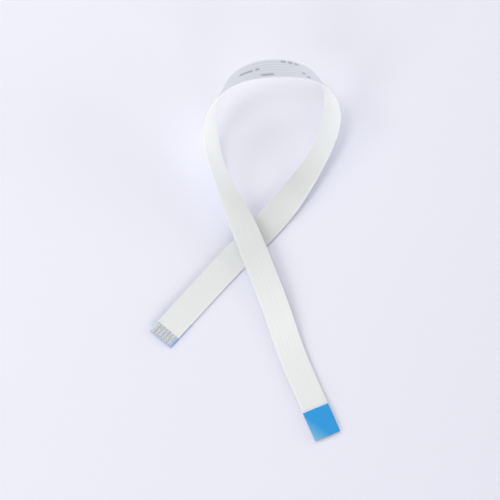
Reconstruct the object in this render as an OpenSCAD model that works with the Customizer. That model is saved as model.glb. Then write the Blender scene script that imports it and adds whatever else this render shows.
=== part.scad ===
// Flat flex cable with crossed legs and a raised loop.
// Two PET films are bonded round six flat copper conductors. One film stops short at each
// end, on opposite faces, so the contacts are bare there, and a stiffener backs them.
// The strip can bend across its width and twist, but not turn in its own plane, so it
// leans over as it goes round the loop. All sizes are in millimetres.

/* [Conductors] */
// Number of conductors
conductor_count = 6; // [3:1:10]
// Distance from one conductor's middle to the next
conductor_pitch = 1.0; // [0.9:0.05:1.5]
// Width of each flat conductor
conductor_width = 0.7; // [0.3:0.05:0.8]
// Thickness of each flat conductor
conductor_thickness = 0.1; // [0.05:0.01:0.15]

/* [Films] */
// Thickness of each insulating film
film_thickness = 0.06; // [0.03:0.01:0.12]
// How far each film stands off a conductor's sides where it comes down to its neighbour
film_flare = 0.05; // [0.02:0.01:0.09]

/* [Ends] */
// Length of bare contact at each end
contact_length = 3.1; // [2:0.1:6]
// Length of each stiffener along the cable
stiffener_length = 8; // [6.5:0.5:10]
// Thickness of each stiffener
stiffener_thickness = 0.19; // [0.1:0.01:0.3]

/* [Cable] */
// Length of the whole cable along its middle
cable_length = 210; // [206:1:240]
// Straight lead between the end with its contacts up and the first bend
contact_lead = 18; // [11:1:30]

/* [Hidden] */

film_color = "#ECEEEE";
conductor_color = "#BFC3C6";
stiffener_color = "#1E90E0";

// The films are half a pitch wider than the outer conductors' own lanes
cable_width = (conductor_count + 1) * conductor_pitch;
half_width = cable_width / 2;
half_conductor = conductor_thickness / 2;
// From the bond line to the crest of a film over a conductor
crest = film_thickness + half_conductor;

// Both leads lie level: one on its stiffener, the other on its own lower film
contact_lead_z = stiffener_thickness + crest;
far_lead_z = crest;

// Route of the strip's middle, as control points of a cubic B-spline: [x, y, z, lean].
// The lean is the angle, in degrees, by which the upper face tips towards the left.
// The first three and the last three are in line, so the ends are straight.
route = [
    [-19, -22, contact_lead_z, 0],
    [-11, -13, contact_lead_z, 0],
    [-3, -4, contact_lead_z, 0],
    [6, 4.5, 1, -20],
    [15, 17, 1.5, 35],
    [19.5, 24.5, 3.5, 40],
    [22, 33, 8, 45],
    [18, 39.5, 16, 130],
    [6.5, 40, 21, 155],
    [-5.5, 38, 19, 135],
    [-11, 29.5, 11.5, 60],
    [-9.5, 19.5, 7, 50],
    [-6, 11.5, 5, 50],
    [-1.5, 2, 3.5, 5],
    [2.5, -8, 2, 0],
    [7, -19.5, 1, -10],
    [10, -29.5, far_lead_z, 0],
    [14.5, -40, far_lead_z, 0],
    [19, -50.5, far_lead_z, 0]
];
span_count = len(route) - 3;
// Each ring of the mesh turns by no more than about this many degrees from the last
ring_turn = 18;
fewest_rings = 2;
// Steps in each span when the route's length is measured
measure_steps = 24;

function unit(v) = v / norm(v);
function sum(list) = list * [for (x = list) 1];
function xyz(v) = [v.x, v.y, v.z];
function corners(i) = [for (k = [0:3]) route[i + k]];

// Point and slope of the B-spline at u, from 0 to 1, along span i
function spline_point(i, u) =
    [pow(1 - u, 3), 3 * pow(u, 3) - 6 * u * u + 4, -3 * pow(u, 3) + 3 * u * u + 3 * u + 1, pow(u, 3)]
    * corners(i) / 6;
function spline_slope(i, u) =
    [-pow(1 - u, 2), 3 * u * u - 4 * u, -3 * u * u + 2 * u + 1, u * u] * corners(i) / 2;

// A station is where a ring of the strip stands: [middle, across, up]. Across points to the
// strip's left edge, and up out of its upper face.
function station(middle, along, lean) =
    let (left = unit(cross([0, 0, 1], along)), over = cross(along, left))
    [middle, left * cos(lean) - over * sin(lean), over * cos(lean) + left * sin(lean)];
function route_station(i, u) =
    let (p = spline_point(i, u), slope = spline_slope(i, u))
    station(xyz(p), unit(xyz(slope)), p[3]);
function turn(v, w) = acos(max(-1, min(1, unit(v) * unit(w))));

// Sharp spans get more rings than straight ones
function ring_count(i) =
    let (
        bend = turn(xyz(spline_slope(i, 0)), xyz(spline_slope(i, 1))),
        twist = abs(spline_point(i, 1)[3] - spline_point(i, 0)[3])
    )
    max(fewest_rings, ceil((bend + twist) / ring_turn));

route_start = xyz(spline_point(0, 0));
route_end = xyz(spline_point(span_count - 1, 1));
contact_along = unit(xyz(spline_slope(0, 0)));
far_along = unit(xyz(spline_slope(span_count - 1, 1)));
route_length = sum([
    for (i = [0:span_count - 1], k = [0:measure_steps - 1])
        norm(xyz(spline_point(i, (k + 1) / measure_steps)) - xyz(spline_point(i, k / measure_steps)))
]);
far_lead = cable_length - contact_lead - route_length;
contact_tip = route_start - contact_along * contact_lead;
far_tip = route_end + far_along * far_lead;

function contact_station(distance) = station(contact_tip + contact_along * distance, contact_along, 0);
function far_station(distance) = station(far_tip - far_along * distance, far_along, 0);

route_stations = concat(
    [for (i = [0:span_count - 1], k = [0:ring_count(i) - 1]) route_station(i, k / ring_count(i))],
    [route_station(span_count - 1, 1)]
);
top_stations = concat([contact_station(contact_length)], route_stations, [far_station(0)]);
bottom_stations = concat([contact_station(0)], route_stations, [far_station(contact_length)]);
conductor_stations = concat([contact_station(0)], route_stations, [far_station(0)]);

// Across the strip from its middle to the middle of conductor i, counted from the right
function lane(i) = (i - (conductor_count + 1) / 2) * conductor_pitch;

// Cross-section of one film as [across, up] points, anticlockwise round the upper film.
// Its inner side is bonded to the other film, and stands over each conductor as a groove.
inner_side = concat(
    [[-half_width, 0]],
    [
        for (i = [1:conductor_count], p = [
            [-conductor_width / 2 - film_flare, 0],
            [-conductor_width / 2, half_conductor],
            [conductor_width / 2, half_conductor],
            [conductor_width / 2 + film_flare, 0]
        ]) [lane(i) + p.x, p.y]
    ],
    [[half_width, 0]]
);
// Its outer side is a rib over each conductor, with a valley midway to the next one
shoulder = lane(conductor_count) + conductor_pitch / 2;
outer_side = concat(
    [[half_width, film_thickness], [shoulder, film_thickness]],
    [
        for (i = [conductor_count:-1:1], p = [
            [conductor_width / 2, crest],
            [-conductor_width / 2, crest],
            [-conductor_pitch / 2, film_thickness]
        ]) [lane(i) + p.x, p.y]
    ],
    [[-half_width, film_thickness]]
);
film_section = concat(inner_side, outer_side);

function flipped(section) = [for (k = [len(section) - 1:-1:0]) [section[k].x, -section[k].y]];
function conductor_section(i) = [
    [lane(i) - conductor_width / 2, -half_conductor],
    [lane(i) + conductor_width / 2, -half_conductor],
    [lane(i) + conductor_width / 2, half_conductor],
    [lane(i) - conductor_width / 2, half_conductor]
];
function place(s, p) = s[0] + s[1] * p.x + s[2] * p.y;

// Surface of a strip: the diagonal of each facet follows the strip and not the section's
// direction, so that two bonded faces have the same facets
module strip(stations, section) {
    n = len(section);
    last = (len(stations) - 1) * n;
    function rising(k) =
        let (step = section[(k + 1) % n] - section[k])
        step.x > 0 || (step.x == 0 && step.y > 0);
    function facet_pair(a, b, c, d, up) = up ? [[a, c, b], [a, d, c]] : [[a, d, b], [b, d, c]];
    polyhedron(
        points = [for (s = stations, p = section) place(s, p)],
        faces = concat(
            [[for (k = [0:n - 1]) k]],
            [
                for (r = [0:len(stations) - 2], k = [0:n - 1],
                     facet = facet_pair(
                         r * n + k,
                         r * n + (k + 1) % n,
                         (r + 1) * n + (k + 1) % n,
                         (r + 1) * n + k,
                         rising(k)
                     ))
                    facet
            ],
            [[for (k = [n - 1:-1:0]) last + k]]
        )
    );
}

// A stiffener's lowest and highest corners, in its own lead's frame
function stiffener_corners(tip, along, low) =
    let (across = cross([0, 0, 1], along))
    [
        for (x = [0, stiffener_length], y = [-half_width, half_width], z = [low, low + stiffener_thickness])
            tip + along * x + across * y + [0, 0, z]
    ];
contact_stiffener_low = -crest - stiffener_thickness;
far_stiffener_low = crest;

// The origin is under the middle of everything, on the surface that the cable lies on
reach = concat(
    [for (s = bottom_stations, p = film_section) place(s, [p.x, -p.y])],
    [for (s = top_stations, p = film_section) place(s, p)],
    stiffener_corners(contact_tip, contact_along, contact_stiffener_low),
    stiffener_corners(far_tip, -far_along, far_stiffener_low)
);
function lowest(axis) = min([for (p = reach) p[axis]]);
function highest(axis) = max([for (p = reach) p[axis]]);
home = [-(lowest(0) + highest(0)) / 2, -(lowest(1) + highest(1)) / 2, -lowest(2)];

module top_film() {
    color(film_color)
        translate(home)
            strip(top_stations, film_section);
}

module bottom_film() {
    color(film_color)
        translate(home)
            strip(bottom_stations, flipped(film_section));
}

module conductor(i) {
    color(conductor_color)
        translate(home)
            strip(conductor_stations, conductor_section(i));
}

// Flat tape that runs inwards from a tip, with its lower face this far above the bond line
module stiffener(tip, inwards, low) {
    color(stiffener_color)
        translate(home + tip + [0, 0, low])
            rotate(atan2(inwards.y, inwards.x))
                translate([0, -half_width, 0])
                    cube([stiffener_length, cable_width, stiffener_thickness]);
}

module contact_end_stiffener() {
    stiffener(contact_tip, contact_along, contact_stiffener_low);
}

module far_end_stiffener() {
    stiffener(far_tip, -far_along, far_stiffener_low);
}

top_film();
bottom_film();
contact_end_stiffener();
far_end_stiffener();
for (i = [1:conductor_count]) {
    conductor(i);
}
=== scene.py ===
"""Dressed model of a flat flex cable that lies in a raised loop with its legs crossed.

The cable is a laminate: two PET films with six flat tinned-copper conductors between them,
and a tape of blue PET stiffening each end. The pieces are built along the route that the
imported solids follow, in metres, and dressed in procedural materials.
"""

import logging
import math
from dataclasses import dataclass
from enum import Enum
from typing import Any

import bpy
import numpy as np
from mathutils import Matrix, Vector


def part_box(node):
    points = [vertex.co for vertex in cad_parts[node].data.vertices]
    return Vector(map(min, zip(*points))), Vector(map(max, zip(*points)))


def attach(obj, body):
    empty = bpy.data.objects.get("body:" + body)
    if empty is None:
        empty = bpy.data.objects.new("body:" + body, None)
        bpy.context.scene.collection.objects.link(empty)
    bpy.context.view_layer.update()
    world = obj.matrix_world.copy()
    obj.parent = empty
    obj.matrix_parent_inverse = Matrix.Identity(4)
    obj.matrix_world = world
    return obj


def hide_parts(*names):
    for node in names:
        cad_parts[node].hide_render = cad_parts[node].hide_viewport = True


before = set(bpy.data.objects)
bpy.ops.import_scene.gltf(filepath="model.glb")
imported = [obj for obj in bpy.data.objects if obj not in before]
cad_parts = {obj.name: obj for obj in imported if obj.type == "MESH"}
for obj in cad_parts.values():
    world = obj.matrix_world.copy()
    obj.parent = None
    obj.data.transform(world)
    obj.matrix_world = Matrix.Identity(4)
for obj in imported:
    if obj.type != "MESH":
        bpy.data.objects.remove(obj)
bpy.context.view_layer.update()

BODY = "root"
MM = 0.001
# Name of the mesh attribute that holds each point's place on the strip, in millimetres:
# along it from the tip with its contacts up, then across it to its left edge
STRIP_PLACE = "strip_mm"
# Faces that meet at more than this angle keep a sharp edge between them
SHARP_ANGLE = math.radians(28)
# A colour Mix node's sockets go by number, because its names repeat
MIX_SHARE, MIX_FIRST, MIX_SECOND, MIX_RESULT = 0, 6, 7, 2

log = logging.getLogger("flat_flex_cable")

# Route of the strip's middle, as control points of a cubic B-spline, in metres: x, y, z, and
# the lean in degrees, by which the upper face tips towards the left
ROUTE = (
    (-0.0190, -0.0220, 0.00030, 0.0),
    (-0.0110, -0.0130, 0.00030, 0.0),
    (-0.0030, -0.0040, 0.00030, 0.0),
    (0.0060, 0.0045, 0.00100, -20.0),
    (0.0150, 0.0170, 0.00150, 35.0),
    (0.0195, 0.0245, 0.00350, 40.0),
    (0.0220, 0.0330, 0.00800, 45.0),
    (0.0180, 0.0395, 0.01600, 130.0),
    (0.0065, 0.0400, 0.02100, 155.0),
    (-0.0055, 0.0380, 0.01900, 135.0),
    (-0.0110, 0.0295, 0.01150, 60.0),
    (-0.0095, 0.0195, 0.00700, 50.0),
    (-0.0060, 0.0115, 0.00500, 50.0),
    (-0.0015, 0.0020, 0.00350, 5.0),
    (0.0025, -0.0080, 0.00200, 0.0),
    (0.0070, -0.0195, 0.00100, -10.0),
    (0.0100, -0.0295, 0.00011, 0.0),
    (0.0145, -0.0400, 0.00011, 0.0),
    (0.0190, -0.0505, 0.00011, 0.0),
)


class TapeFace(Enum):
    """Which face of the strip a stiffener tape is stuck to, as its sign along up."""

    LOWER = -1
    UPPER = 1


class TapeEnd(Enum):
    """Which end of the strip a stiffener tape is stuck to."""

    CONTACTS_UP = "contact_end"
    CONTACTS_DOWN = "far_end"


@dataclass(frozen=True)
class CableSizes:
    """Sizes of the laminated strip, in metres."""

    conductor_count: int = 6
    pitch: float = 1.0 * MM
    conductor_width: float = 0.7 * MM
    conductor_thickness: float = 0.1 * MM
    film_thickness: float = 0.06 * MM
    film_flare: float = 0.05 * MM
    contact_length: float = 3.1 * MM
    stiffener_length: float = 8.0 * MM
    stiffener_thickness: float = 0.19 * MM
    cable_length: float = 210.0 * MM
    contact_lead: float = 18.0 * MM

    @property
    def half_width(self) -> float:
        """Half the width of the films."""
        return (self.conductor_count + 1) * self.pitch / 2

    @property
    def half_conductor(self) -> float:
        """Half the thickness of a conductor."""
        return self.conductor_thickness / 2

    @property
    def crest(self) -> float:
        """Height of a film over a conductor, from the bond line."""
        return self.film_thickness + self.half_conductor

    def lanes(self) -> np.ndarray:
        """Places of the conductors' middles across the strip, from its right edge."""
        return (np.arange(self.conductor_count) - (self.conductor_count - 1) / 2) * self.pitch


@dataclass(frozen=True)
class Stations:
    """Rings along the strip: where each stands, and which way it faces."""

    middle: np.ndarray
    across: np.ndarray
    up: np.ndarray
    distance: np.ndarray

    def place(self, offsets: np.ndarray, heights: np.ndarray) -> np.ndarray:
        """Place points on every ring.

        Args:
            offsets: Distances across the strip, one for each column.
            heights: Distances above the bond line, rings by columns.

        Returns:
            The points, rings by columns by 3.
        """
        return (
            self.middle[:, None, :]
            + self.across[:, None, :] * offsets[None, :, None]
            + self.up[:, None, :] * heights[:, :, None]
        )


def unit(vectors: np.ndarray) -> np.ndarray:
    """Scale each vector to a length of one."""
    return vectors / np.linalg.norm(vectors, axis=-1, keepdims=True)


@dataclass(frozen=True)
class CableRoute:
    """The line that the strip's middle follows, with straight leads at both ends."""

    sizes: CableSizes
    rings_per_span: int = 16
    # Steps in each span when the route's length is measured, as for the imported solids
    measure_steps: int = 24

    @property
    def span_count(self) -> int:
        """Number of spans in the B-spline."""
        return len(ROUTE) - 3

    def curve(self, parameter: np.ndarray) -> tuple[np.ndarray, np.ndarray]:
        """Evaluate the B-spline.

        Args:
            parameter: Places along the spline, in spans.

        Returns:
            The points with their lean, and the slopes, as arrays of 4 columns.
        """
        points = np.array(ROUTE)
        span = np.minimum(parameter.astype(int), self.span_count - 1)
        u = (parameter - span)[:, None]
        corners = [points[span + k] for k in range(4)]
        # Weights of a uniform cubic B-spline, in sixths, and of its slope, in halves
        weights = (
            (1 - u) ** 3,
            3 * u**3 - 6 * u**2 + 4,
            -3 * u**3 + 3 * u**2 + 3 * u + 1,
            u**3,
        )
        slopes = (-((1 - u) ** 2), 3 * u**2 - 4 * u, -3 * u**2 + 2 * u + 1, u**2)
        value = sum(w * c for w, c in zip(weights, corners)) / 6
        slope = sum(w * c for w, c in zip(slopes, corners)) / 2
        return value, slope

    def home(self) -> np.ndarray:
        """Find the shift from the route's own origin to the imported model's.

        Returns:
            The shift, as the place of the stiffener under the contacts gives it.
        """
        low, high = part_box("contact_end_stiffener")
        start, slope = self.curve(np.array([0.0]))
        along = unit(slope[0, :3])
        back = self.sizes.contact_lead - self.sizes.stiffener_length / 2
        middle = start[0, :3] - along * back
        centre = (np.array(low) + np.array(high)) / 2
        drop = self.sizes.crest + self.sizes.stiffener_thickness / 2
        return centre - middle + np.array([0.0, 0.0, drop])

    def stations(self, start: float, end: float) -> Stations:
        """Lay rings along the strip.

        Args:
            start: Distance of the first ring from the tip with its contacts up.
            end: Distance of the last ring from that tip.

        Returns:
            The stations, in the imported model's frame.
        """
        fine = np.linspace(0, self.span_count, self.span_count * self.measure_steps + 1)
        fine_points = self.curve(fine)[0][:, :3]
        travelled = np.concatenate(
            [[0.0], np.cumsum(np.linalg.norm(np.diff(fine_points, axis=0), axis=1))]
        )
        rings = np.linspace(0, self.span_count, self.span_count * self.rings_per_span + 1)
        value, slope = self.curve(rings)
        along = unit(slope[:, :3])
        distance = self.sizes.contact_lead + np.interp(rings, fine, travelled)

        def lead(wanted: float, index: int) -> np.ndarray:
            """Point on the straight lead beyond one end of the spline."""
            return value[index, :3] + along[index] * (wanted - distance[index])

        middle = np.vstack([lead(start, 0), value[:, :3], lead(end, -1)]) + self.home()
        direction = np.vstack([along[0], along, along[-1]])
        lean = np.radians(np.concatenate([[0.0], value[:, 3], [0.0]]))[:, None]
        left = unit(np.cross([0.0, 0.0, 1.0], direction))
        over = np.cross(direction, left)
        return Stations(
            middle,
            left * np.cos(lean) - over * np.sin(lean),
            over * np.cos(lean) + left * np.sin(lean),
            np.concatenate([[start], distance, [end]]),
        )

    def lead_stations(self, distances: np.ndarray) -> Stations:
        """Lay rings on one of the straight leads.

        Args:
            distances: Distances from the tip with its contacts up, all on one lead.

        Returns:
            The stations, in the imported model's frame.
        """
        whole = self.stations(0.0, self.sizes.cable_length)
        near = distances[0] < self.sizes.contact_lead
        a, b = (0, 1) if near else (-2, -1)
        along = unit(whole.middle[b] - whole.middle[a])
        middle = whole.middle[a] + along * (distances - whole.distance[a])[:, None]
        count = (len(distances), 1)
        return Stations(
            middle, np.tile(whole.across[a], count), np.tile(whole.up[a], count), distances
        )


def linear(colour: str) -> tuple[float, float, float, float]:
    """Turn an sRGB hex colour into the linear values that a shader takes.

    Args:
        colour: The colour as "#RRGGBB".

    Returns:
        Red, green, blue and an alpha of one.
    """
    parts = [int(colour[i : i + 2], 16) / 255 for i in (1, 3, 5)]
    red, green, blue = (
        c / 12.92 if c <= 0.04045 else ((c + 0.055) / 1.055) ** 2.4 for c in parts
    )
    return red, green, blue, 1.0


def fill_inputs(node: bpy.types.Node, inputs: dict[Any, Any]) -> None:
    """Set or link a node's inputs.

    Args:
        node: The node.
        inputs: For each input, by name or number, a value or the socket that feeds it.
    """
    for key, value in inputs.items():
        if isinstance(value, bpy.types.NodeSocket):
            node.id_data.links.new(value, node.inputs[key])
        else:
            node.inputs[key].default_value = value


def add_node(
    tree: bpy.types.NodeTree, kind: str, inputs: dict[Any, Any] | None = None, **settings: Any
) -> bpy.types.Node:
    """Add a node with its settings and links.

    Args:
        tree: The node tree that it goes into.
        kind: The node's type.
        inputs: For each input, by name or number, a value or the socket that feeds it.
        **settings: The node's own properties.

    Returns:
        The new node.
    """
    node = tree.nodes.new(kind)
    for name, value in settings.items():
        setattr(node, name, value)
    fill_inputs(node, inputs or {})
    return node


def fill_ramp(
    ramp: bpy.types.ColorRamp, stops: list[tuple[float, tuple[float, float, float, float]]]
) -> None:
    """Put the colour stops on a ramp.

    Args:
        ramp: The ramp, new.
        stops: Each stop's place, from 0 to 1, and its linear colour, in rising order.
    """
    while len(ramp.elements) < len(stops):
        ramp.elements.new(1.0)
    for element, (place, colour) in zip(ramp.elements, stops):
        element.position = place
        element.color = colour


def start_material(name: str) -> tuple[bpy.types.Material, bpy.types.Node]:
    """Start a material with nothing but its shader.

    Args:
        name: The material's name.

    Returns:
        The material and its shader node.
    """
    material = bpy.data.materials.new(name)
    material.use_nodes = True
    tree = material.node_tree
    tree.nodes.clear()
    shader = add_node(tree, "ShaderNodeBsdfPrincipled")
    add_node(tree, "ShaderNodeOutputMaterial", {"Surface": shader.outputs["BSDF"]})
    return material, shader


def strip_place(tree: bpy.types.NodeTree) -> tuple[bpy.types.NodeSocket, ...]:
    """Read each point's place on the strip, in millimetres.

    Args:
        tree: The node tree to read it in.

    Returns:
        The place as a vector, then its parts along and across the strip.
    """
    place = add_node(tree, "ShaderNodeAttribute", attribute_name=STRIP_PLACE).outputs["Vector"]
    parts = add_node(tree, "ShaderNodeSeparateXYZ", {"Vector": place}).outputs
    return place, parts["X"], parts["Y"]


def lane_mask(
    tree: bpy.types.NodeTree, across: bpy.types.NodeSocket, sizes: CableSizes
) -> bpy.types.NodeSocket:
    """Mask the lanes that have a conductor behind the film.

    Args:
        tree: The node tree to add to.
        across: Each point's place across the strip, in millimetres.
        sizes: The cable's sizes.

    Returns:
        A value of 1 over a conductor and 0 between two.
    """
    pitch = sizes.pitch / MM
    half = sizes.conductor_width / 2 / MM
    # The film runs straight off the conductor's edge, which blurs it over this width
    blur = 0.08
    shift = 0.0 if sizes.conductor_count % 2 else pitch / 2
    moved = add_node(tree, "ShaderNodeMath", {0: across, 1: shift}, operation="ADD")
    lane = add_node(
        tree, "ShaderNodeMath", {0: moved.outputs[0], 1: pitch / 2}, operation="PINGPONG"
    )
    edge = add_node(
        tree,
        "ShaderNodeMapRange",
        {
            "Value": lane.outputs[0],
            "From Min": half - blur / 2,
            "From Max": half + blur / 2,
            "To Min": 1.0,
            "To Max": 0.0,
        },
        interpolation_type="SMOOTHSTEP",
    )
    size = add_node(tree, "ShaderNodeMath", {0: across}, operation="ABSOLUTE")
    inside = add_node(
        tree,
        "ShaderNodeMath",
        {0: size.outputs[0], 1: (sizes.half_width - sizes.pitch / 2) / MM},
        operation="LESS_THAN",
    )
    both = add_node(
        tree,
        "ShaderNodeMath",
        {0: edge.outputs["Result"], 1: inside.outputs[0]},
        operation="MULTIPLY",
    )
    return both.outputs[0]


@dataclass(frozen=True)
class Patches:
    """Size of a noise's patches along the strip and across it, in millimetres.

    Its detail is the number of finer layers in it.
    """

    length: float
    width: float
    detail: float = 2.0


def stretched_noise(
    tree: bpy.types.NodeTree, place: bpy.types.NodeSocket, patches: Patches
) -> bpy.types.NodeSocket:
    """Lay noise along the strip.

    Args:
        tree: The node tree to add to.
        place: Each point's place on the strip, in millimetres.
        patches: How large the noise's patches are.

    Returns:
        The noise, from 0 to 1.
    """
    scaled = add_node(
        tree,
        "ShaderNodeVectorMath",
        {0: place, 1: (1 / patches.length, 1 / patches.width, 1.0)},
        operation="MULTIPLY",
    )
    return add_node(
        tree,
        "ShaderNodeTexNoise",
        {
            "Vector": scaled.outputs[0],
            "Scale": 1.0,
            "Detail": patches.detail,
            "Roughness": 0.55,
        },
    ).outputs["Fac"]


def shaded(
    tree: bpy.types.NodeTree,
    colour: bpy.types.NodeSocket,
    mask: bpy.types.NodeSocket,
    outside: float,
    inside: float,
) -> bpy.types.NodeSocket:
    """Shade a colour by a mask.

    Args:
        tree: The node tree to add to.
        colour: The colour.
        mask: A value from 0 to 1.
        outside: Share of the colour that is left where the mask is 0.
        inside: Share of it that is left where the mask is 1.

    Returns:
        The shaded colour.
    """
    left = add_node(
        tree, "ShaderNodeMapRange", {"Value": mask, "To Min": outside, "To Max": inside}
    )
    return add_node(
        tree,
        "ShaderNodeMix",
        {MIX_SHARE: 1.0, MIX_FIRST: colour, MIX_SECOND: left.outputs["Result"]},
        data_type="RGBA",
        blend_type="MULTIPLY",
    ).outputs[MIX_RESULT]


@dataclass(frozen=True)
class RolledFilmSkin:
    """Relief of PET film that was drawn, then pressed on by heated rollers.

    To the eye it breaks up a reflection into orange peel, with faint lines along the strip.
    """

    # Roller peel is about 0.4 mm across, and the drawing lines 0.12 mm wide
    peel: Patches = Patches(0.5, 0.4)
    drawn: Patches = Patches(9.0, 0.12)
    peel_share: float = 0.6
    strength: float = 0.5
    depth: float = 0.0025 * MM

    def normal(
        self, tree: bpy.types.NodeTree, place: bpy.types.NodeSocket
    ) -> bpy.types.NodeSocket:
        """Work out the skin's normal.

        Args:
            tree: The node tree to add to.
            place: Each point's place on the strip, in millimetres.

        Returns:
            The normal.
        """
        peel = stretched_noise(tree, place, self.peel)
        drawn = stretched_noise(tree, place, self.drawn)
        relief = add_node(
            tree,
            "ShaderNodeMath",
            {0: peel, 1: self.peel_share, 2: drawn},
            operation="MULTIPLY_ADD",
        )
        return add_node(
            tree,
            "ShaderNodeBump",
            {"Strength": self.strength, "Distance": self.depth, "Height": relief.outputs[0]},
        ).outputs["Normal"]


@dataclass(frozen=True)
class WhitePetFilm:
    """White PET film, drawn, pigmented and hot-rolled on to the conductors.

    To the eye it is a clean white with a satin gloss, faintly greyer where metal lies behind
    it, with the orange peel of the rollers and drawing lines along it.
    """

    sizes: CableSizes
    name: str = "white_pet_film_laminated"
    # Film colour along the strip, with painted light and shade: distance in millimetres, and the
    # colour there. The film's own white is painted lighter on the loop's high flanks and darker on
    # its low flanks by the crossing.
    colour_and_painted_shading: tuple[tuple[float, str], ...] = (
        (0.0, "#EAECEB"),
        (25.0, "#E6E8E7"),
        (36.0, "#DEE0DF"),
        (45.0, "#DCDEDD"),
        (54.0, "#E1E3E2"),
        (64.0, "#EDEFEE"),
        (76.0, "#E7E9E8"),
        (90.0, "#ECEEED"),
        (114.0, "#FAFCFB"),
        (128.0, "#FBFDFC"),
        (138.0, "#F4F6F5"),
        (146.0, "#EAECEB"),
        (157.0, "#E1E3E2"),
        (180.0, "#ECEEED"),
        (200.0, "#EAECEB"),
    )
    lane_shade: float = 0.985
    # Pigment is uneven over about a centimetre
    cloud: Patches = Patches(11.0, 4.0)
    cloud_shade: float = 0.985
    skin: RolledFilmSkin = RolledFilmSkin()
    ior: float = 1.57
    smoothest: float = 0.36
    roughest: float = 0.45

    def material(self) -> bpy.types.Material:
        """Make the film's material.

        Returns:
            The material.
        """
        material, shader = start_material(self.name)
        tree = material.node_tree
        place, along, across = strip_place(tree)
        share = add_node(
            tree,
            "ShaderNodeMapRange",
            {"Value": along, "From Max": self.sizes.cable_length / MM},
        )
        # Painted light and shade: the ramp paints the film lighter on the loop's high flanks and
        # darker on its low flanks by the crossing
        colour_and_painted_shading = add_node(tree, "ShaderNodeValToRGB", {0: share.outputs["Result"]})
        length = self.sizes.cable_length
        fill_ramp(
            colour_and_painted_shading.color_ramp,
            [(distance * MM / length, linear(colour)) for distance, colour in self.colour_and_painted_shading],
        )
        lanes = lane_mask(tree, across, self.sizes)
        base = shaded(tree, colour_and_painted_shading.outputs["Color"], lanes, 1.0, self.lane_shade)
        cloud = stretched_noise(tree, place, self.cloud)
        gloss = add_node(
            tree,
            "ShaderNodeMapRange",
            {"Value": cloud, "To Min": self.smoothest, "To Max": self.roughest},
        )
        fill_inputs(
            shader,
            {
                "Base Color": shaded(tree, base, cloud, self.cloud_shade, 1.0),
                "Roughness": gloss.outputs["Result"],
                "Normal": self.skin.normal(tree, place),
                "IOR": self.ior,
            },
        )
        return material


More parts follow.
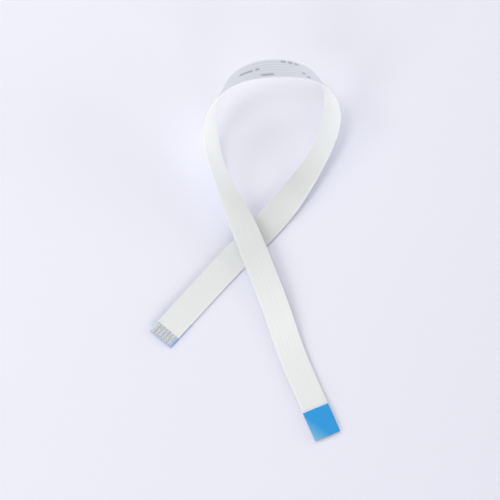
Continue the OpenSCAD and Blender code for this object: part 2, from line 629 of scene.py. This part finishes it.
@dataclass(frozen=True)
class MilkyPetFilm:
    """Thinly pigmented PET film on the back of the strip, hot-rolled like the front one.

    To the eye it is a cool pale grey, because the metal shows through it as darker lanes. It
    carries two rows of plain ink dashes round the loop, and over the stiffener its bare end
    takes the tape's blue.
    """

    sizes: CableSizes
    name: str = "milky_pet_film_laminated"
    colour: str = "#F0F3FA"
    lane_colour: str = "#E4E8F3"
    ink_colour: str = "#8F939E"
    cloud: Patches = Patches(11.0, 4.0)
    cloud_shade: float = 0.96
    skin: RolledFilmSkin = RolledFilmSkin()
    ior: float = 1.57
    roughness: float = 0.40
    # The bare end lies on the tape, which tints it to just past the bare contacts. It is a deeper
    # blue along its right margin, which starts and takes its full tint this far from the edge, in
    # millimetres
    tape_colour: str = "#DAE1E8"
    margin_colour: str = "#8FADDB"
    tint_past: float = 0.3
    margin_start: float = 0.6
    margin_full: float = 0.2
    # Each dash: its start, end and middle, in millimetres along and across the strip
    dashes: tuple[tuple[float, float, float], ...] = (
        (89.0, 90.0, -2.3),
        (90.2, 91.0, -1.0),
        (91.5, 92.6, 2.35),
        (93.2, 94.3, 2.45),
        (95.0, 96.2, 2.6),
        (98.7, 101.8, -2.2),
        (102.1, 103.1, 0.3),
        (103.9, 107.4, 0.15),
    )
    dash_height: float = 0.8
    # Ink on film is thin, so more than a third of the ground shows through. A dash's edge is
    # soft, between these multiples of its half size.
    ink_cover: float = 0.62
    ink_ends: float = 1.3
    ink_full: float = 0.75

    def material(self) -> bpy.types.Material:
        """Make the film's material.

        Returns:
            The material.
        """
        material, shader = start_material(self.name)
        tree = material.node_tree
        place, along, across = strip_place(tree)
        lanes = lane_mask(tree, across, self.sizes)
        base = add_node(
            tree,
            "ShaderNodeMix",
            {
                MIX_SHARE: lanes,
                MIX_FIRST: linear(self.colour),
                MIX_SECOND: linear(self.lane_colour),
            },
            data_type="RGBA",
        )
        inked = add_node(
            tree,
            "ShaderNodeMix",
            {
                MIX_SHARE: self._ink(tree, place),
                MIX_FIRST: base.outputs[MIX_RESULT],
                MIX_SECOND: linear(self.ink_colour),
            },
            data_type="RGBA",
        )
        bare = add_node(
            tree,
            "ShaderNodeMath",
            {0: along, 1: self.sizes.contact_length / MM + self.tint_past},
            operation="LESS_THAN",
        )
        tinted = add_node(
            tree,
            "ShaderNodeMix",
            {
                MIX_SHARE: bare.outputs[0],
                MIX_FIRST: inked.outputs[MIX_RESULT],
                MIX_SECOND: self._tint(tree, across),
            },
            data_type="RGBA",
        )
        cloud = stretched_noise(tree, place, self.cloud)
        fill_inputs(
            shader,
            {
                "Base Color": shaded(
                    tree, tinted.outputs[MIX_RESULT], cloud, self.cloud_shade, 1.0
                ),
                "Roughness": self.roughness,
                "Normal": self.skin.normal(tree, place),
                "IOR": self.ior,
            },
        )
        return material

    def _tint(
        self, tree: bpy.types.NodeTree, across: bpy.types.NodeSocket
    ) -> bpy.types.NodeSocket:
        """Mix the bare end's tint: pale blue, and deeper blue along its right margin.

        Args:
            tree: The node tree to add to.
            across: Each point's place across the strip, in millimetres.

        Returns:
            The tinted colour.
        """
        half = self.sizes.half_width / MM
        margin = add_node(
            tree,
            "ShaderNodeMapRange",
            {
                "Value": across,
                "From Min": self.margin_start - half,
                "From Max": self.margin_full - half,
            },
            interpolation_type="SMOOTHSTEP",
        )
        return add_node(
            tree,
            "ShaderNodeMix",
            {
                MIX_SHARE: margin.outputs["Result"],
                MIX_FIRST: linear(self.tape_colour),
                MIX_SECOND: linear(self.margin_colour),
            },
            data_type="RGBA",
        ).outputs[MIX_RESULT]

    def _ink(
        self, tree: bpy.types.NodeTree, place: bpy.types.NodeSocket
    ) -> bpy.types.NodeSocket:
        """Print the plain dashes.

        Args:
            tree: The node tree to add to.
            place: Each point's place on the strip, in millimetres.

        Returns:
            How much of the colour is ink.
        """
        printed = 0.0
        for start, end, middle in self.dashes:
            centre = ((start + end) / 2, middle, 0.0)
            scale = (2 / (end - start), 2 / self.dash_height, 0.0)
            offset = add_node(
                tree, "ShaderNodeVectorMath", {0: place, 1: centre}, operation="SUBTRACT"
            )
            scaled = add_node(
                tree, "ShaderNodeVectorMath", {0: offset.outputs[0], 1: scale}, operation="MULTIPLY"
            )
            size = add_node(
                tree, "ShaderNodeVectorMath", {0: scaled.outputs[0]}, operation="ABSOLUTE"
            )
            parts = add_node(tree, "ShaderNodeSeparateXYZ", {0: size.outputs[0]}).outputs
            reach = add_node(
                tree, "ShaderNodeMath", {0: parts["X"], 1: parts["Y"]}, operation="MAXIMUM"
            )
            dash = add_node(
                tree,
                "ShaderNodeMapRange",
                {
                    "Value": reach.outputs[0],
                    "From Min": self.ink_ends,
                    "From Max": self.ink_full,
                    "To Min": 0.0,
                    "To Max": self.ink_cover,
                },
                interpolation_type="SMOOTHSTEP",
            )
            printed = add_node(
                tree,
                "ShaderNodeMath",
                {0: printed, 1: dash.outputs["Result"]},
                operation="MAXIMUM",
            ).outputs[0]
        return printed


@dataclass(frozen=True)
class TinnedCopper:
    """Copper wire rolled flat and hot-tinned.

    To the eye it is a soft silver with fine rolling lines along it and a little cloudiness.
    """

    name: str = "tinned_copper_rolled"
    colour: str = "#C1C5C8"
    dull_colour: str = "#ACB1B5"
    cloud: Patches = Patches(1.6, 0.5)
    smoothest: float = 0.37
    roughest: float = 0.52
    # Rolling lines are some 0.02 mm wide, drawn here at 0.06 mm so that they show
    lines: Patches = Patches(5.0, 0.06)
    line_strength: float = 0.6
    line_depth: float = 0.002 * MM

    def material(self) -> bpy.types.Material:
        """Make the conductors' material.

        Returns:
            The material.
        """
        material, shader = start_material(self.name)
        tree = material.node_tree
        place, _, _ = strip_place(tree)
        cloud = stretched_noise(tree, place, self.cloud)
        base = add_node(
            tree,
            "ShaderNodeMix",
            {
                MIX_SHARE: cloud,
                MIX_FIRST: linear(self.colour),
                MIX_SECOND: linear(self.dull_colour),
            },
            data_type="RGBA",
        )
        bump = add_node(
            tree,
            "ShaderNodeBump",
            {
                "Strength": self.line_strength,
                "Distance": self.line_depth,
                "Height": stretched_noise(tree, place, self.lines),
            },
        )
        gloss = add_node(
            tree,
            "ShaderNodeMapRange",
            {"Value": cloud, "To Min": self.smoothest, "To Max": self.roughest},
        )
        fill_inputs(
            shader,
            {
                "Base Color": base.outputs[MIX_RESULT],
                "Roughness": gloss.outputs["Result"],
                "Normal": bump.outputs["Normal"],
                "Metallic": 1.0,
            },
        )
        return material


@dataclass(frozen=True)
class BluePetTape:
    """Blue PET stiffener tape, extruded, dyed right through and cut flush with the cable.

    To the eye it is a clear azure with a satin skin, lightly scratched along its length.
    """

    name: str = "blue_pet_tape_extruded"
    colour: str = "#009BE0"
    deep_colour: str = "#0090D9"
    cloud: Patches = Patches(3.0, 1.8)
    # Painted sheen: the far end's tape is painted paler towards the right-hand corner of its tip,
    # between these two distances that way, in millimetres
    painted_sheen_colour: str = "#6AB4DE"
    painted_light_way: tuple[float, float, float] = (0.5, -0.87, 0.0)
    sheen_from: float = 104.2
    sheen_to: float = 107.2
    ior: float = 1.57
    # The extruded skin is a little matt, so it mirrors less than clear PET
    mirror_level: float = 0.35
    smoothest: float = 0.32
    roughest: float = 0.46
    # Slitting and handling leave fine lines, drawn 0.08 mm wide so that they show
    lines: Patches = Patches(4.0, 0.08, 3.0)
    line_strength: float = 0.5
    line_depth: float = 0.003 * MM

    def material(self) -> bpy.types.Material:
        """Make the tape's material.

        Returns:
            The material.
        """
        material, shader = start_material(self.name)
        tree = material.node_tree
        place, _, _ = strip_place(tree)
        base = add_node(
            tree,
            "ShaderNodeMix",
            {
                MIX_SHARE: stretched_noise(tree, place, self.cloud),
                MIX_FIRST: linear(self.colour),
                MIX_SECOND: linear(self.deep_colour),
            },
            data_type="RGBA",
        )
        way = add_node(
            tree, "ShaderNodeVectorMath", {0: place, 1: self.painted_light_way}, operation="DOT_PRODUCT"
        )
        sheen_share = add_node(
            tree,
            "ShaderNodeMapRange",
            {
                "Value": way.outputs["Value"],
                "From Min": self.sheen_from,
                "From Max": self.sheen_to,
            },
        )
        # The tape's dye, with a painted sheen on the right-hand corner of the far tip
        dyed = add_node(
            tree,
            "ShaderNodeMix",
            {
                MIX_SHARE: sheen_share.outputs["Result"],
                MIX_FIRST: base.outputs[MIX_RESULT],
                MIX_SECOND: linear(self.painted_sheen_colour),
            },
            data_type="RGBA",
        )
        lines = stretched_noise(tree, place, self.lines)
        bump = add_node(
            tree,
            "ShaderNodeBump",
            {"Strength": self.line_strength, "Distance": self.line_depth, "Height": lines},
        )
        gloss = add_node(
            tree,
            "ShaderNodeMapRange",
            {"Value": lines, "To Min": self.smoothest, "To Max": self.roughest},
        )
        fill_inputs(
            shader,
            {
                "Base Color": dyed.outputs[MIX_RESULT],
                "Roughness": gloss.outputs["Result"],
                "Normal": bump.outputs["Normal"],
                "IOR": self.ior,
                "Specular IOR Level": self.mirror_level,
            },
        )
        return material


def strip_piece(
    name: str, stations: Stations, offsets: np.ndarray, low: np.ndarray, high: np.ndarray
) -> bpy.types.Object:
    """Build a closed strip, with the columns of its section joined from ring to ring.

    Args:
        name: The piece's name.
        stations: The rings to build it on.
        offsets: Place of each column across the strip, rising.
        low: Height of the lower surface at each column, for each ring or for all.
        high: Height of the upper surface at each column, for each ring or for all.

    Returns:
        The new object, with its place on the strip as an attribute.
    """
    rings, columns = len(stations.distance), len(offsets)
    shape = (rings, columns)
    upper = stations.place(offsets, np.broadcast_to(high, shape))
    lower = stations.place(offsets, np.broadcast_to(low, shape))
    points = np.concatenate([upper.reshape(-1, 3), lower.reshape(-1, 3)])
    index = np.arange(rings * columns).reshape(shape)
    top, bottom = index, index + rings * columns

    def sheet(grid: np.ndarray) -> np.ndarray:
        """Quads between the rows and columns of a grid, facing up."""
        return np.stack(
            [grid[:-1, :-1], grid[1:, :-1], grid[1:, 1:], grid[:-1, 1:]], axis=-1
        ).reshape(-1, 4)

    faces = np.concatenate(
        [
            sheet(top),
            sheet(bottom)[:, ::-1],
            sheet(np.stack([top[:, -1], bottom[:, -1]], axis=1)),
            sheet(np.stack([bottom[:, 0], top[:, 0]], axis=1)),
            sheet(np.stack([bottom[0], top[0]], axis=0)),
            sheet(np.stack([top[-1], bottom[-1]], axis=0)),
        ]
    )
    mesh = bpy.data.meshes.new(name)
    mesh.from_pydata(points.tolist(), [], faces.tolist())
    mesh.validate()
    mesh.shade_smooth()
    mesh.set_sharp_from_angle(angle=SHARP_ANGLE)
    place = np.zeros((*shape, 3))
    place[..., 0] = stations.distance[:, None] / MM
    place[..., 1] = offsets[None, :] / MM
    attribute = mesh.attributes.new(STRIP_PLACE, "FLOAT_VECTOR", "POINT")
    attribute.data.foreach_set("vector", np.tile(place.reshape(-1), 2).astype(np.float32))
    piece = bpy.data.objects.new(name, mesh)
    bpy.context.scene.collection.objects.link(piece)
    return piece


def fit_piece(
    piece: bpy.types.Object, material: bpy.types.Material, node: str
) -> None:
    """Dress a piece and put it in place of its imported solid.

    Args:
        piece: The piece.
        material: Its material.
        node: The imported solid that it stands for.
    """
    piece.data.materials.append(material)
    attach(piece, BODY)
    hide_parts(node)
    log.info("%s: %d faces", piece.name, len(piece.data.polygons))


@dataclass(frozen=True)
class FilmPair:
    """The two films, bonded face to face round the conductors."""

    sizes: CableSizes
    route: CableRoute
    # Adhesive fills between the conductors, so the outer faces dip only this far there
    dip: float = 0.022 * MM
    # Share of a conductor's half width over which a film lies flat on it
    flat_share: float = 0.8
    # Column beside the valley between two conductors, as a share of the way to it
    valley_side: float = 0.86
    edge_radius: float = 0.02 * MM
    # Columns from the outer lanes to the edge, then round the edge, as shares of each
    margin_columns: tuple[float, ...] = (0.0, 0.35, 0.7, 0.92)
    edge_columns: tuple[float, ...] = (1.0, 0.6, 0.25, 0.0)

    def section(self) -> tuple[np.ndarray, np.ndarray, np.ndarray]:
        """Work out one film's section.

        Returns:
            The columns' places across the strip, and the heights of the film's inner and
            outer faces there, from the bond line.
        """
        s = self.sizes
        half = s.conductor_width / 2
        lane = s.pitch / 2
        flat = half * self.flat_share
        valley_side = lane * self.valley_side
        # One lane's columns, from the valley on its right. The next lane starts in the other.
        steps = np.array([-lane, -valley_side, -half - s.film_flare, -half, -flat, -half / 2])
        steps = np.concatenate([steps, [0.0], -steps[:0:-1]])
        offsets = np.concatenate([middle + steps for middle in s.lanes()])
        shoulder = s.lanes()[-1] + lane
        margin = np.array(self.margin_columns) * (s.half_width - shoulder) + shoulder
        edge = s.half_width - self.edge_radius * np.array(self.edge_columns)
        right = np.concatenate([margin, edge])
        offsets = np.concatenate([-right[::-1], offsets[1:], right[1:]])
        off_lane = np.min(np.abs(offsets[:, None] - s.lanes()[None, :]), axis=1)
        rounding = 1e-9
        inner = np.where(off_lane <= half + rounding, s.half_conductor, 0.0)
        rise = np.clip((off_lane - flat) / (lane - flat), 0.0, 1.0)
        outer = s.crest - self.dip * (1 - np.cos(rise * math.pi)) / 2
        beyond = np.clip((np.abs(offsets) - shoulder) / (s.half_width - shoulder), 0.0, 1.0)
        thinned = s.crest - self.dip - (s.half_conductor - self.dip) * beyond
        outer = np.where(np.abs(offsets) > shoulder, thinned, outer)
        turn = np.clip(1 - (s.half_width - np.abs(offsets)) / self.edge_radius, 0.0, 1.0)
        return offsets, inner, outer - self.edge_radius * (1 - np.sqrt(1 - turn**2))

    def build(self) -> tuple[bpy.types.Object, bpy.types.Object]:
        """Build and dress both films.

        Returns:
            The front film and the back film.
        """
        s = self.sizes
        offsets, inner, outer = self.section()
        front = strip_piece(
            "front_film",
            self.route.stations(s.contact_length, s.cable_length),
            offsets,
            inner,
            outer,
        )
        back = strip_piece(
            "back_film",
            self.route.stations(0.0, s.cable_length - s.contact_length),
            offsets,
            -outer,
            -inner,
        )
        fit_piece(front, WhitePetFilm(s).material(), "top_film")
        fit_piece(back, MilkyPetFilm(s).material(), "bottom_film")
        return front, back


@dataclass(frozen=True)
class ConductorSet:
    """The flat conductors, which run the whole length of the cable."""

    sizes: CableSizes
    route: CableRoute
    # Rolled wire keeps rounded edges: half of its section from edge to middle, as shares of
    # its half width and of its half thickness
    section_across: tuple[float, ...] = (1.0, 0.985, 0.95, 0.88, 0.6, 0.25)
    section_height: tuple[float, ...] = (0.25, 0.6, 0.85, 1.0, 1.0, 1.0)

    def build(self) -> list[bpy.types.Object]:
        """Build and dress every conductor.

        Returns:
            The conductors, from the strip's right edge to its left.
        """
        s = self.sizes
        stations = self.route.stations(0.0, s.cable_length)
        across = np.array(self.section_across) * s.conductor_width / 2
        height = np.array(self.section_height) * s.half_conductor
        steps = np.concatenate([-across, across[::-1]])
        heights = np.concatenate([height, height[::-1]])
        material = TinnedCopper().material()
        made = []
        for number, middle in enumerate(s.lanes(), start=1):
            piece = strip_piece(
                f"conductor_strip_{number}", stations, middle + steps, -heights, heights
            )
            fit_piece(piece, material, f"conductor_{number}")
            made.append(piece)
        return made


@dataclass(frozen=True)
class StiffenerTape:
    """A tape stuck over one end of the cable and cut flush with it."""

    sizes: CableSizes
    route: CableRoute
    end: TapeEnd
    face: TapeFace
    edge_radius: float = 0.035 * MM
    # Rows round an edge, as shares of its radius
    edge_rows: tuple[float, ...] = (0.0, 0.15, 0.5, 1.0)
    # Rows on the flat: how many along the tape, and how far in the outer ones stand; then
    # how many across each half, and the outer and the inner one's place in millimetres
    rows_along: int = 15
    inset_along: float = 0.5 * MM
    rows_across: int = 10
    reach_across: tuple[float, float] = (3.0, 0.3)

    def build(self, material: bpy.types.Material) -> bpy.types.Object:
        """Build and dress the tape.

        Args:
            material: The tape's material.

        Returns:
            The tape.
        """
        s = self.sizes
        node = f"{self.end.value}_stiffener"
        start = 0.0 if self.end is TapeEnd.CONTACTS_UP else s.cable_length - s.stiffener_length
        bevel = self.edge_radius * np.array(self.edge_rows)
        flat = np.linspace(
            self.inset_along, s.stiffener_length - self.inset_along, self.rows_along
        )
        along = np.concatenate([bevel, flat, (s.stiffener_length - bevel)[::-1]])
        flat = np.linspace(*self.reach_across, self.rows_across) * MM
        across = np.concatenate([s.half_width - bevel, flat])
        offsets = np.concatenate([-across, across[::-1]])

        def sunk(gap: np.ndarray) -> np.ndarray:
            """How far a rounded edge lies below the flat, this far in from the side."""
            turn = np.clip(1 - gap / self.edge_radius, 0.0, 1.0)
            return self.edge_radius * (1 - np.sqrt(1 - turn**2))

        drop = np.maximum(
            sunk(np.minimum(along, s.stiffener_length - along))[:, None],
            sunk(s.half_width - np.abs(offsets))[None, :],
        )
        near = np.full(drop.shape, s.crest)
        far = s.crest + s.stiffener_thickness - drop
        low, high = (near, far) if self.face is TapeFace.UPPER else (-far, -near)
        stations = self.route.lead_stations(start + along)
        piece = strip_piece(f"{self.end.value}_tape", stations, offsets, low, high)
        fit_piece(piece, material, node)
        return piece


@dataclass(frozen=True)
class SoftBox:
    """A round soft box that faces the cable.

    Its azimuth runs from +X towards +Y, and its spread is how wide it looks from the cable,
    all in degrees. Its share is the light that it throws on a level white surface, where 1
    renders white. Its glare says whether the film's gloss shows it, which would wash the film
    out where the box is low.
    """

    name: str
    azimuth: float
    elevation: float
    spread: float
    share: float
    glare: bool = True


@dataclass(frozen=True)
class Studio:
    """The floor, the lights and the camera."""

    # A sprung cable touches a board at a few points only, so the board lies a little lower
    floor_drop: float = 0.5 * MM
    floor_half: float = 4.0
    floor_roughness: float = 0.9
    # Painted light: the board's colour is painted paler from its near right corner to its far
    # left one, where the light is stronger, over this far either way of the origin
    near_colour: str = "#EBEBF7"
    far_colour: str = "#F5F5FF"
    painted_light_way: tuple[float, float, float] = (-0.816, 0.579, 0.0)
    painted_light_reach: float = 90.0 * MM
    backdrop_colour: str = "#ECECF8"
    elevation: float = 74.75
    view_width: float = 127.6 * MM
    look_at: tuple[float, float, float] = (1.214 * MM, 2.562 * MM, 0.0)
    # The camera's distance in view widths, then the nearest and the furthest that it sees,
    # as shares of that distance
    camera_away: float = 10.0
    clip_near: float = 0.05
    clip_far: float = 20.0
    # The tent's brightness at each height, as the sine of its elevation
    tent: tuple[tuple[float, float], ...] = (
        (0.0, 0.0),
        (0.13, 0.33),
        (0.26, 0.57),
        (0.50, 0.61),
        (0.77, 0.29),
        (1.0, 0.02),
    )
    boxes: tuple[SoftBox, ...] = (
        SoftBox("overhead_key_box", 165.0, 76.0, 18.0, 0.164),
        SoftBox("back_high_box", 90.0, 60.0, 36.0, 0.172),
        SoftBox("left_front_box", 225.0, 34.0, 36.0, 0.108),
        SoftBox("left_back_box", 165.0, 44.0, 18.0, 0.055),
        SoftBox("front_low_box", 270.0, 10.0, 36.0, 0.104, glare=False),
        SoftBox("right_low_box", 0.0, 10.0, 36.0, 0.056, glare=False),
    )
    box_distance: float = 1.5

    def place_camera(self) -> None:
        """Put up the camera, with a view that doesn't narrow with distance."""
        data = bpy.data.cameras.new("camera")
        data.type = "ORTHO"
        data.ortho_scale = self.view_width
        away = self.camera_away * self.view_width
        tilt = math.radians(self.elevation)
        back = Vector((0.0, -math.cos(tilt), math.sin(tilt)))
        camera = bpy.data.objects.new("camera", data)
        camera.location = Vector(self.look_at) + back * away
        camera.rotation_euler = (math.pi / 2 - tilt, 0.0, 0.0)
        data.clip_start = away * self.clip_near
        data.clip_end = away * self.clip_far
        bpy.context.scene.collection.objects.link(camera)
        bpy.context.scene.camera = camera

    def lay_floor(self) -> None:
        """Lay the floor just under the cable."""
        half = self.floor_half
        mesh = bpy.data.meshes.new("floor")
        corners = [(-half, -half), (half, -half), (half, half), (-half, half)]
        mesh.from_pydata([(x, y, -self.floor_drop) for x, y in corners], [], [(0, 1, 2, 3)])
        material, shader = start_material("painted_board_floor")
        tree = material.node_tree
        spot = add_node(tree, "ShaderNodeNewGeometry").outputs["Position"]
        towards = add_node(
            tree,
            "ShaderNodeVectorMath",
            {0: spot, 1: self.painted_light_way},
            operation="DOT_PRODUCT",
        )
        share = add_node(
            tree,
            "ShaderNodeMapRange",
            {
                "Value": towards.outputs["Value"],
                "From Min": -self.painted_light_reach,
                "From Max": self.painted_light_reach,
            },
        )
        # Painted light: the board's colour is mixed paler towards its far left corner
        board = add_node(
            tree,
            "ShaderNodeMix",
            {
                MIX_SHARE: share.outputs["Result"],
                MIX_FIRST: linear(self.near_colour),
                MIX_SECOND: linear(self.far_colour),
            },
            data_type="RGBA",
        )
        fill_inputs(
            shader,
            {
                "Base Color": board.outputs[MIX_RESULT],
                "Roughness": self.floor_roughness,
                "Specular IOR Level": 0.0,
            },
        )
        mesh.materials.append(material)
        floor = bpy.data.objects.new("floor", mesh)
        bpy.context.scene.collection.objects.link(floor)

    def hang_box(self, box: SoftBox) -> None:
        """Hang a soft box over the cable.

        Args:
            box: The soft box.
        """
        data = bpy.data.lights.new(box.name, "AREA")
        data.shape = "DISK"
        data.size = 2 * self.box_distance * math.tan(math.radians(box.spread / 2))
        height = math.sin(math.radians(box.elevation))
        reach = math.cos(math.radians(box.elevation))
        turn = math.radians(box.azimuth)
        # A white surface that faces a lamp renders at its power over (pi x distance) squared,
        # and a level one at that times the sine of the lamp's elevation
        data.energy = box.share * (math.pi * self.box_distance) ** 2 / height
        direction = Vector((reach * math.cos(turn), reach * math.sin(turn), height))
        light = bpy.data.objects.new(box.name, data)
        light.visible_glossy = box.glare
        light.location = Vector(self.look_at) + direction * self.box_distance
        light.rotation_euler = direction.to_track_quat("Z", "Y").to_euler()
        bpy.context.scene.collection.objects.link(light)

    def light_up(self) -> None:
        """Put up the soft boxes and the tent round them."""
        for box in self.boxes:
            self.hang_box(box)
        world = bpy.data.worlds.new("tent")
        world.use_nodes = True
        tree = world.node_tree
        tree.nodes.clear()
        direction = add_node(tree, "ShaderNodeTexCoord").outputs["Generated"]
        parts = add_node(tree, "ShaderNodeSeparateXYZ", {0: direction}).outputs
        brightest = max(strength for _, strength in self.tent)
        wall = add_node(tree, "ShaderNodeValToRGB", {0: parts["Z"]})
        stops = [(place, (*[level / brightest] * 3, 1.0)) for place, level in self.tent]
        fill_ramp(wall.color_ramp, stops)
        rays = add_node(tree, "ShaderNodeLightPath").outputs
        tent = add_node(
            tree,
            "ShaderNodeBackground",
            {"Color": wall.outputs["Color"], "Strength": brightest},
        )
        backdrop = add_node(
            tree,
            "ShaderNodeBackground",
            {"Color": linear(self.backdrop_colour), "Strength": 1.0},
        )
        mixed = add_node(
            tree,
            "ShaderNodeMixShader",
            {0: rays["Is Camera Ray"], 1: tent.outputs[0], 2: backdrop.outputs[0]},
        )
        add_node(tree, "ShaderNodeOutputWorld", {"Surface": mixed.outputs[0]})
        bpy.context.scene.world = world
        bpy.context.scene.view_settings.view_transform = "Standard"


def main() -> None:
    """Build the cable and the studio round it."""
    logging.basicConfig(level=logging.INFO, format="%(name)s: %(message)s")
    sizes = CableSizes(
        conductor_count=sum(name.startswith("conductor_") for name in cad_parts)
    )
    route = CableRoute(sizes)
    studio = Studio()
    studio.place_camera()

    front, back = FilmPair(sizes, route).build()
    conductors = ConductorSet(sizes, route).build()
    blue = BluePetTape().material()
    tapes = [
        StiffenerTape(sizes, route, TapeEnd.CONTACTS_UP, TapeFace.LOWER).build(blue),
        StiffenerTape(sizes, route, TapeEnd.CONTACTS_DOWN, TapeFace.UPPER).build(blue),
    ]
    line = route.stations(0.0, sizes.cable_length).middle
    studio.lay_floor()
    studio.light_up()


if __name__ == "__main__":
    main()
